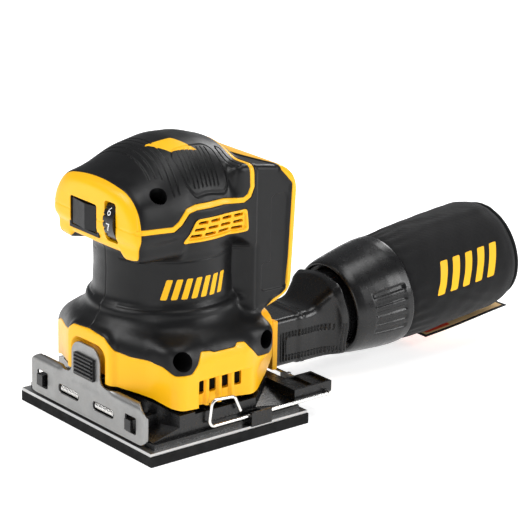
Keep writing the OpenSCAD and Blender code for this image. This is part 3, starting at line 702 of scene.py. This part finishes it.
walls("cap_screw_wells", keep, ~flags["cap_screws"], bore, 8, soft)
plus_y = np.tile([0, 1.0, 0], (len(patch.p), 1))
walls("dial_walls", keep, ~flags["dial"], plus_y, 5, yellow)
walls("rocker_walls", keep, ~flags["rocker"], plus_y, 3, yellow)
walls("bay_walls", keep, ~flags["bay"], -plus_y, 9, hard)

# Inner face of the walls, painted near black as the shade inside the housing
WALL = 2.5
q, m, f = housing_grid(5.0)[:3]
inner = Patch(q - m * WALL, f, n=m, **fields(q))
keep_in = inner.cut("edge")
for name, room in (("side_screws", 2.0), ("cap_screws", 2.5), ("dial", 3.0), ("rocker", 2.0), ("bay", 3.0)):
    keep_in &= inner.v[name][inner.f].min(1) > room
make("housing_inside", inner.p, inner.f[keep_in][:, ::-1], painted_shade_inside, "housing")


# ---------------------------------------------------------------- solid pieces made as tubes and blocks

def block(name, x0, x1, y0, y1, z0, z1, look, body, bevel):
    """A box with rounded edges, in mm."""
    bm = bmesh.new()
    bmesh.ops.create_cube(bm, size=1)
    for w in bm.verts:
        w.co = Vector(((x0 + x1) / 2 + w.co.x * (x1 - x0), (y0 + y1) / 2 + w.co.y * (y1 - y0),
                       (z0 + z1) / 2 + w.co.z * (z1 - z0))) / 1000
    bmesh.ops.bevel(bm, geom=bm.edges[:], offset=bevel / 1000, segments=3, affect="EDGES", profile=0.5)
    mesh = bpy.data.meshes.new(name)
    bm.to_mesh(mesh)
    bm.free()
    return add(name, mesh, look, body)


def tube(name, path, radius, look, body, sides=12, ends=True):
    """A round rod along the points of a path."""
    path = np.asarray(path, float)
    t = np.gradient(path, axis=0)
    t /= np.linalg.norm(t, axis=1)[:, None]
    ref = np.array([0, 0, 1.0]) if abs(t[0, 2]) < 0.9 else np.array([1.0, 0, 0])
    rings = []
    a = np.arange(sides) * 2 * math.pi / sides
    side = np.cross(ref, t[0])
    for k in range(len(path)):
        side = side - t[k] * side.dot(t[k])
        side /= np.linalg.norm(side)
        other = np.cross(t[k], side)
        rings.append(path[k] + radius * (np.cos(a)[:, None] * side + np.sin(a)[:, None] * other))
    pts = np.concatenate(rings)
    faces = wrap_grid(len(path), sides)
    if ends:
        first = np.arange(1, sides - 1)
        cap0 = np.stack([np.zeros_like(first), first + 1, first], 1)
        cap1 = np.stack([np.zeros_like(first), first, first + 1], 1) + (len(path) - 1) * sides
        faces = np.concatenate([faces, cap0, cap1])
    return make(name, pts, faces, look, body)


# Floor of the battery bay, with its window onto the terminals
for name, box in {"bay_floor_low": (-BAY_X, BAY_X, 44.8, 47, BAY_LOW, 78),
                  "bay_floor_high": (-BAY_X, BAY_X, 44.8, 47, 122, BAY_HIGH),
                  "bay_floor_left": (-BAY_X, -29, 44.8, 47, 78, 122),
                  "bay_floor_right": (29, BAY_X, 44.8, 47, 78, 122),
                  "bay_back": (-30, 30, 34.5, 36, 76, 124)}.items():
    block(name, *box, hard, "housing", 0.3)


# ---------------------------------------------------------------- front clamp

CLAMP_Y = -47.9  # middle of the front sheet
CLAMP_SHEET = 0.0013  # its thickness, in metres


def rolled(u, start, radius):
    """How far back a sheet has rolled at u, when the roll begins at start."""
    over = np.clip(u - start, 0, radius * 0.985)
    return radius - np.sqrt(radius * radius - over * over)


def clamp_sheet():
    size = 0.4
    us = np.arange(-50.0, 50.01, size)
    vs = np.arange(8.0, 48.01, size)
    u, w = np.meshgrid(us, vs)
    u, w = u.ravel(), w.ravel()
    p = np.stack([u, np.zeros_like(u), w], 1)
    wings = np.where(w > 18, round_rect(u, w, -49.9, 49.9, 0, 28.8, 8),
                     round_rect(u, w, -49.9, 49.9, 8.4, 40, 4))
    tab = round_rect(u, w, -12, 12, 20, 47.4, 7.5)
    outline = -smin(wings, tab, 5)
    windows = np.minimum(round_rect(u, w, 33.7, 43.2, 12.6, 21.6, 1),
                         round_rect(u, w, -43.2, -33.7, 12.6, 21.6, 1))
    slots = np.minimum(round_rect(u, w, 5.8, 24.4, 14.6, 19.6, 2.45),
                       round_rect(u, w, -24.4, -5.8, 14.6, 19.6, 2.45))
    cut = Patch(p, flat_grid(len(vs), len(us)), outline=outline, windows=windows, slots=slots)
    keep = np.ones(len(cut.f), bool)
    for name in ("outline", "windows", "slots"):
        cut.label = keep.astype(int)
        above = cut.cut(name)
        keep = (cut.label == 1) & above
    x, _, z = cut.p.T
    back = rolled(np.abs(x), 47.3, 2.4)
    back = back + rolled(z, 25.8, 3.0) * ramp(np.abs(x), 17.5, 25.5)
    back = back + 0.35 * ramp(z, 23, 26) * (1 - ramp(z, 27, 30)) * (1 - ramp(np.abs(x), 11, 13))
    pts = np.stack([x, CLAMP_Y + back, z], 1)
    obj = make("front_clamp_sheet", pts, cut.f[keep], nickel, "front_clamp")
    thicken(obj, CLAMP_SHEET)
    return obj


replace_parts(clamp_sheet(), "front_clamp_plate")
for s, side in ((1, "right"), (-1, "left")):
    block(f"clamp_hook_{side}", *sorted((s * 27.0, s * 28.4)), -47.3, -43.6, 14.9, 19.8, nickel,
          "front_clamp", 0.25)
    turns, coil_r = 13, 1.75
    k = np.linspace(0, 1, turns * 18 + 1)
    a = k * turns * 2 * math.pi
    coil = np.stack([s * (7.2 + 15.6 * k), -45.95 + coil_r * np.cos(a), 17 + coil_r * np.sin(a)], 1)
    spring = tube(f"clamp_coil_{side}", coil, 0.44, wire_steel, "platen", 8)
    if s == 1:
        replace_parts(spring, "clamp_springs")


# ---------------------------------------------------------------- dust adapter

# Axis of the dust bag: tilt, direction, start, and its own upward direction
TILT = math.radians(5.5)
AXIS = np.array([0, math.cos(TILT), math.sin(TILT)])
BAG = np.array([0, 111.0, 34.2])
UP = np.cross([1.0, 0, 0], AXIS)
MOUTH_Y = 63.06
BORE_R, BORE_END, PORT_Z = 13.04, 76.0, 27.2  # bore of the adapter: radius, inner end, height


def adapter(x, y, z):
    """Negative inside the adapter's outside shape."""
    ax = np.abs(x)
    body = smax(round_rect(x, z, -14, 14, 13.7, 40.4, 3), np.maximum(63.05 - y, y - 109), 0.8)
    t = (y - BAG[1]) * AXIS[1] + (z - BAG[2]) * AXIS[2]
    h = (z - BAG[2]) * AXIS[1] - (y - BAG[1]) * AXIS[2]
    neck = smax(np.hypot(x, h) - 20.7, np.maximum(-7 - t, t - 3), 1.2)
    top = 40.4 + 13.5 * ramp(y, 84, 106)
    bulge = smax(smax(z - top, ax - 14 - 5.5 * ramp(y, 90, 107), 6), np.maximum(80 - y, 14.4 - z), 2)
    bulge = smax(bulge, t + 4.5, 1)
    return smin(smin(body, bulge, 3), neck, 5)


def adapter_piece():
    s = 1.0
    ys = np.concatenate([[MOUTH_Y], np.arange(63.3, 114.8, 0.3 * s)])
    cols = int(480 / s)
    a = np.arange(cols) * 2 * math.pi / cols
    flat = np.stack([np.sin(a), np.zeros(cols), -np.cos(a)], 1)
    heart = 27.5 + 6.5 * ramp(ys, 88, 108)
    origin = np.repeat(np.stack([0 * ys, ys, heart], 1), cols, 0)
    p = outermost(adapter, origin, np.tile(flat, (len(ys), 1)), 34)
    n = gradient(adapter, p)
    x, y, z = p.T
    on_side = ramp(np.abs(n[:, 0]), 0.8, 0.97)
    rib_area = round_rect(y, z, 66.5, 107, 16.4, 32.6, 1)
    label = round_rect(y, z, 70.5, 101.5, 19.8, 29.2, 1.5)
    phase = np.abs(((y - 66.5) / 2.1) % 1 - 0.5) * 2
    groove = 0.9 * ramp(phase, 0.35, 0.65) * ramp(-rib_area, -0.2, 0.3) * ramp(label, -0.2, 0.3)
    frame_line = 0.3 * ramp(-np.abs(label - 0.9), -0.6, -0.2)
    crest = 0.4 * ramp(-np.abs(y - 82.5), -1.3, -0.5) * (1 - on_side)
    p = p - n * ((groove - frame_line * 0.6) * on_side - crest * 0.6)[:, None]
    faces = wrap_grid(len(ys), cols)
    rows = len(ys)
    # The mouth that slides over the outlet, with a bore behind it
    start = np.arange(cols)
    loops = [start]
    for y_bore in (MOUTH_Y, BORE_END):
        loops.append(len(p) + start)
        ring_points = np.stack([BORE_R * np.sin(a), np.full(cols, y_bore), PORT_Z - BORE_R * np.cos(a)], 1)
        p = np.concatenate([p, ring_points])
    hub = len(p)
    p = np.concatenate([p, [[0, BORE_END, PORT_Z]]])
    mouth = []
    for outer, deeper in zip(loops[:-1], loops[1:]):
        after, after_deep = np.roll(outer, -1), np.roll(deeper, -1)
        mouth += [np.stack([after, outer, deeper], 1), np.stack([after, deeper, after_deep], 1)]
    mouth.append(np.stack([np.roll(loops[-1], -1), loops[-1], np.full(cols, hub)], 1))
    return make("dust_adapter_body", p, np.concatenate([faces] + mouth), hard, "adapter")


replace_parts(adapter_piece(), "dust_adapter")


# ---------------------------------------------------------------- bag cap, bag and tag

def around(t, r, a):
    """Points at t along the bag's axis and r from it, turned a from the top towards +X."""
    outward = np.sin(a)[:, None] * [1.0, 0, 0] + np.cos(a)[:, None] * UP
    return BAG + AXIS * t[:, None] + r[:, None] * outward


def smooth_profile(points, each=0.6):
    """The profile with points added about every 0.6 mm."""
    out = []
    for (t0, r0), (t1, r1) in zip(points[:-1], points[1:]):
        count = max(1, int(math.hypot(t1 - t0, r1 - r0) / each))
        out += [(t0 + (t1 - t0) * k / count, r0 + (r1 - r0) * k / count) for k in range(count)]
    return out + [points[-1]]


def cap_shape(t, r, a):
    """Finger ribs in a panel on each side of the cap."""
    along = ramp(np.array(t), 10.5, 12) * (1 - ramp(np.array(t), 30, 32))
    for centre in (math.pi / 2, 3 * math.pi / 2):
        d = np.degrees(np.abs(a - centre))
        panel = 1 - ramp(d, 24, 26)
        wave = ramp(np.abs(((d / 11.0) % 1) - 0.5) * 2, 0.3, 0.7)
        r = r - along * panel * (0.3 + 0.75 * wave)
    return r


# Distance along the bag's axis and radius, in mm
CAP = [(4, 21.35), (3, 23.7), (0.8, 23.8), (0.15, 24.0), (0, 24.4), (0.3, 25.0), (1, 25.6), (3, 26.3),
       (5, 26.8), (13, 28.1), (22, 29.4), (28, 30.0), (30, 30.2), (35.4, 30.2), (35.9, 29.8), (36, 29.2),
       (36, 28.3), (32, 28.2), (30, 28.2)]
CAP_COLS = 480
cap_a = np.arange(CAP_COLS) * 2 * math.pi / CAP_COLS
cap_rows = [around(np.full(CAP_COLS, t), cap_shape(t, np.full(CAP_COLS, float(r)), cap_a), cap_a)
            for t, r in smooth_profile(CAP)]
cap = make("bag_cap_body", np.concatenate(cap_rows), wrap_grid(len(cap_rows), CAP_COLS), hard, "bag")
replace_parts(cap, "bag_cap")

cloth = material("bag_cloth", (0.008, 0.008, 0.008), 0.85, spec=0.2)
shader(cloth).inputs["Sheen Weight"].default_value = 0.06
shader(cloth).inputs["Sheen Roughness"].default_value = 0.45
fuzz = noise(cloth, 700, 4, 0.6)
tint(cloth, fuzz.outputs["Fac"], (0.0045, 0.0045, 0.005), (0.011, 0.011, 0.0115))
weave = [node(cloth, "ShaderNodeTexWave", Scale=620.0, Distortion=1.2) for _ in range(2)]
weave[0].bands_direction, weave[1].bands_direction = "Y", "Z"
both = cloth.node_tree.nodes.new("ShaderNodeMath")
both.operation = "ADD"
for k, item in enumerate(weave):
    item.inputs["Detail"].default_value = 1
    wire(cloth, coords(cloth), item.inputs["Vector"])
    wire(cloth, item.outputs["Fac"], both.inputs[k])
soft_wave = bump(cloth, noise(cloth, 160, 3, 0.6).outputs["Fac"], 0.25, 0.0006)
bump(cloth, both.outputs[0], 0.35, 0.00018, soft_wave)

# Creases in the cloth: angle, slope, where along the bag, size
rng = np.random.default_rng(7)
FOLDS = [(rng.uniform(0, 2 * math.pi), rng.uniform(-0.9, 0.9), rng.uniform(0, 2 * math.pi),
          rng.uniform(0.5, 1.0)) for _ in range(14)]

# Distance along the bag and its radius there, in mm
BAG_OUTLINE = [(35.5, 28.2), (37.5, 29.4), (56, 30.9), (82, 31.3), (104, 31.2), (111, 29.6), (115, 26.2)]


def bag_radius(t, a):
    """Radius of the sagging bag, a measured from the top towards +X."""
    along = (t - 36) / 79
    r = curve(t, BAG_OUTLINE, 2)
    gather = np.exp(-((t - 36) / 14) ** 2)
    r = r + gather * 0.3 * np.sin(26 * a + 1.3 * np.sin(3 * a)) * (1 - np.exp(-((t - 36) / 3) ** 2))
    slump = 0.5 - 0.5 * np.cos(a)
    r = r - 0.5 * slump * ramp(along, 0.1, 0.5)
    r = r + 0.3 * np.exp(-((a - 1.9) / 0.5) ** 2) * ramp(along, 0.2, 0.6)
    for c, slope, phase, size in FOLDS:
        d = np.angle(np.exp(1j * (a - c - slope * (along - 0.5) * 1.6)))
        line = np.exp(-(d / 0.085) ** 2) - 0.6 * np.exp(-((d - 0.16) / 0.1) ** 2)
        reach = np.exp(-((along - 0.5 - 0.35 * np.sin(phase)) / 0.30) ** 2)
        r = r + size * 0.35 * line * reach
    r = r + 0.15 * np.sin(9 * a + 21 * along) * np.sin(5 * along * math.pi)
    return r


def bag_piece():
    s = 1
    cols = 480 // s
    a = np.arange(cols) * 2 * math.pi / cols
    rows = []
    ts = np.arange(35.6, 115.01, 0.6 * s)
    for t in ts:
        rows.append((np.full(cols, t), bag_radius(t, a)))
    edge = rows[-1][1]
    for k in np.linspace(0.04, 0.97, 50 // s):
        crown = 115 + 2.0 * (1 - (1 - k) ** 2) + 0.2 * np.sin(5 * a + 9 * k) * k * (1 - k) * 4
        rows.append((crown, edge * (1 - k)))
    pts = np.concatenate([around(t, r, a) for t, r in rows])
    faces = wrap_grid(len(rows), cols)
    last = (len(rows) - 1) * cols + np.arange(cols)
    tip = len(pts)
    pts = np.concatenate([pts, pts[last].mean(0)[None]])
    fan = np.stack([last, np.roll(last, -1), np.full(cols, tip)], 1)
    faces = np.concatenate([faces, fan])
    u, w = pts[:, 1], pts[:, 2]
    marks = bars(u, w - 0.1 * (u - 186), (168, 177, 186, 195, 204), 41, 58, 5.0, 0.3)
    marks = marks - np.where(pts[:, 0] < 0, 99, 0)
    patch = Patch(pts, faces, marks=marks)
    above = patch.cut("marks")
    bag = make("dust_bag_cloth", patch.p, patch.f[~above], cloth, "bag")
    print_piece = make("bag_marks", patch.p, patch.f[above], yellow_paint, "bag")
    g = np.linspace(0, 2 * math.pi, 181)
    seam_points = around(np.full(len(g), ts[-1] + 0.5), bag_radius(ts[-1], g), g)
    seam = tube("bag_piping", seam_points, 1.15, cloth, "bag", 10, False)
    return bag, print_piece, seam


bag, bag_print, piping = bag_piece()
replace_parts(bag, "dust_bag")

tan = moulded("tag_cloth", (0.58, 0.38, 0.17), (0.70, 0.48, 0.24), 0.85, 1800, 0.5, spec=0.2)
tag_edge = moulded("tag_binding", (0.012, 0.012, 0.012), (0.02, 0.02, 0.02), 0.85, 1500, 0.6, spec=0.2)
tag_red = moulded("tag_patch", (0.60, 0.05, 0.02), (0.70, 0.07, 0.03), 0.8, 1800, 0.4, spec=0.2)


TAG_DROP = 32.4  # how far below the bag's axis the tag lies
TAG_THICK = 0.0005  # in metres


def tag_piece():
    us, vs = np.arange(-12.0, 12.01, 0.4), np.arange(59.0, 121.01, 0.4)
    u, w = np.meshgrid(us, vs)
    u, w = u.ravel(), w.ravel()
    drop = TAG_DROP + 0.2 * np.sin(w * 0.09 + 0.6) + 0.1 * np.sin(u * 0.3 + w * 0.05)
    p = BAG + w[:, None] * AXIS - drop[:, None] * UP + u[:, None] * [1.0, 0, 0]
    border = -round_rect(u, w, -10.2, 10.2, 60.8, 119.2, 0.8)
    red = -round_rect(u, w, -8.6, 8.6, 62.6, 80.6, 0.8)
    sheet = Patch(p, flat_grid(len(vs), len(us)), border=border, red=red)
    inner = sheet.cut("border")
    sheet.label = inner.astype(int)
    on_red = sheet.cut("red")
    inner = sheet.label == 1
    parts = []
    for name, mask, look in (("tag_face", inner & ~on_red, tan), ("tag_rim", ~inner, tag_edge),
                             ("tag_red", on_red, tag_red)):
        obj = make(name, sheet.p, sheet.f[mask], look, "bag")
        thicken(obj, TAG_THICK)
        parts.append(obj)
    return parts


tag, tag_rim, tag_patch = tag_piece()
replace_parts(tag, "bag_tag")


# ---------------------------------------------------------------- numbers on the dial

NUMBER_SIZE, NUMBER_LIFT = 6.2, 0.06  # height of a figure and how far it stands off the dial, in mm


def dial_number(text, degrees):
    """A figure bent onto the dial, at an angle above the front."""
    lo, hi = (Vector(c) * 1000 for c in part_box("speed_dial"))
    centre_y, centre_z, radius = (lo.y + hi.y) / 2, (lo.z + hi.z) / 2, (hi.z - lo.z) / 2
    curve_data = bpy.data.curves.new(f"number_{text}", "FONT")
    curve_data.body = text
    curve_data.align_x, curve_data.align_y = "CENTER", "CENTER"
    curve_data.size = NUMBER_SIZE
    curve_data.resolution_u = 6
    temp = bpy.data.objects.new("temp", curve_data)
    bpy.context.scene.collection.objects.link(temp)
    bpy.context.view_layer.update()
    mesh = bpy.data.meshes.new_from_object(temp.evaluated_get(bpy.context.evaluated_depsgraph_get()))
    bpy.data.objects.remove(temp)
    bm = bmesh.new()
    bm.from_mesh(mesh)
    bmesh.ops.subdivide_edges(bm, edges=bm.edges[:], cuts=1)
    bmesh.ops.triangulate(bm, faces=bm.faces[:])
    for w in bm.verts:
        angle = math.radians(degrees) + w.co.y / radius
        x = (lo.x + hi.x) / 2 + w.co.x
        out = radius + NUMBER_LIFT
        w.co = Vector((x, centre_y - out * math.cos(angle), centre_z + out * math.sin(angle))) / 1000
    bm.to_mesh(mesh)
    bm.free()
    mesh.materials.clear()
    add(f"dial_number_{text}", mesh, white_print, "dial")


SHOWN, PITCH = 25, 36  # angle of the figure in the window and the step between figures
for k, text in enumerate("1234567"):
    dial_number(text, SHOWN - PITCH * (k - 5))

# ---------------------------------------------------------------- raised frame round the rocker

def rounded_loop(x0, x1, z0, z1, r, y):
    """Points of a rounded rectangle that faces the front."""
    turns = np.linspace(0, math.pi / 2, 8)
    out = []
    for k, (cx, cz) in enumerate(((x1 - r, z1 - r), (x0 + r, z1 - r), (x0 + r, z0 + r), (x1 - r, z0 + r))):
        a = turns + k * math.pi / 2
        out.append(np.stack([cx + r * np.cos(a), np.full(8, y), cz + r * np.sin(a)], 1))
    return np.concatenate(out)


FRAME_BOX = (-20.0, 5.0, 104.0, 122.4)  # x0, x1, z0, z1 in mm


def frame_loop(inset, y):
    """One ring of the frame, drawn in from its outline by inset."""
    x0, x1, z0, z1 = FRAME_BOX
    return rounded_loop(x0 + inset, x1 - inset, z0 + inset, z1 - inset, max(2.6 - inset, 0.8), y)


FRAME_SECTION = ((0, -41.2), (0, -42.9), (0.2, -43.2), (0.45, -43.35), (0.75, -43.3), (0.95, -43.1),
                 (1.0, -41.2))  # inset and y of each ring
frame_loops = [frame_loop(*row) for row in FRAME_SECTION]
make("rocker_frame", np.concatenate(frame_loops), wrap_grid(len(frame_loops), 32), hard, "housing")

# ---------------------------------------------------------------- edges of the CAD pieces that stay

SKIP = {"rear_clamp_wire", "clamp_axle"}  # round already
WIDE, NARROW = 0.00045, 0.00025  # bevels in metres
WIDE_EDGES = {"foam_pad", "platen_carrier", "dust_port", "switch_boot", "switch_rocker"}
for name, obj in frame["nodes"].items():
    if obj.hide_render or name in SKIP:
        continue
    mod = obj.modifiers.new("edges", "BEVEL")
    mod.width = WIDE if name in WIDE_EDGES else NARROW
    mod.segments = 3
    mod.limit_method = "ANGLE"
    mod.angle_limit = math.radians(40)
    mod.harden_normals = False

# ---------------------------------------------------------------- floor, light and camera

floor_z = cad_box[0][2]
bpy.ops.mesh.primitive_plane_add(size=6, location=(0, 0, floor_z))
floor = bpy.context.object
floor.name = "floor"
floor_look = material("floor_white", (0.9, 0.9, 0.9), 0.8, spec=0.1)
shader(floor_look).inputs["Emission Color"].default_value = (1, 1, 1, 1)
shader(floor_look).inputs["Emission Strength"].default_value = 0.62
floor.data.materials.append(floor_look)

bpy.context.scene.view_settings.view_transform = "Standard"
world = bpy.data.worlds.new("studio")
bpy.context.scene.world = world
world.use_nodes = True
world.node_tree.nodes["Background"].inputs[0].default_value = (0.95, 0.97, 1.0, 1)
world.node_tree.nodes["Background"].inputs[1].default_value = 0.24


def area_light(name, place, target, size, power):
    lamp = bpy.data.lights.new(name, "AREA")
    lamp.shape = "RECTANGLE"
    lamp.size, lamp.size_y = size
    lamp.energy = power
    obj = bpy.data.objects.new(name, lamp)
    obj.location = place
    obj.rotation_euler = (Vector(target) - Vector(place)).to_track_quat("-Z", "Y").to_euler()
    bpy.context.scene.collection.objects.link(obj)


aim = (0, 0.05, 0.07)
area_light("key", (-0.35, -0.85, 0.95), aim, (0.6, 0.6), 8.8)
area_light("side", (1.0, 0.75, 0.55), aim, (0.25, 0.7), 8)
area_light("front_fill", (0.75, -0.95, 0.25), aim, (0.3, 0.9), 3.2)
area_light("top", (0.15, 0.25, 1.2), aim, (0.8, 0.35), 4.5)
area_light("rim", (-0.5, 1.0, 0.7), aim, (0.3, 0.8), 6)

# Camera: turn, height and roll in degrees; distance and offsets in metres
azimuth, elevation, roll = (math.radians(v) for v in (51.27, 18.33, 0.89))
DISTANCE, ACROSS, ABOVE = 1.3, 0.0423, 0.0759
right = Vector((math.cos(azimuth), math.sin(azimuth), 0))
upward = Vector((-math.sin(azimuth) * math.sin(elevation), math.cos(azimuth) * math.sin(elevation),
                 math.cos(elevation)))
back = right.cross(upward)
tilted_right = right * math.cos(roll) + upward * math.sin(roll)
tilted_up = upward * math.cos(roll) - right * math.sin(roll)
camera_data = bpy.data.cameras.new("camera")
camera = bpy.data.objects.new("camera", camera_data)
bpy.context.scene.collection.objects.link(camera)
camera_data.sensor_width = 36
camera_data.lens = 170.5
camera_data.shift_x = 0.0394
camera_data.clip_end = 20
matrix = Matrix((tilted_right, tilted_up, back)).transposed().to_4x4()
matrix.translation = back * DISTANCE + tilted_right * ACROSS + tilted_up * ABOVE
camera.matrix_world = matrix
bpy.context.scene.camera = camera
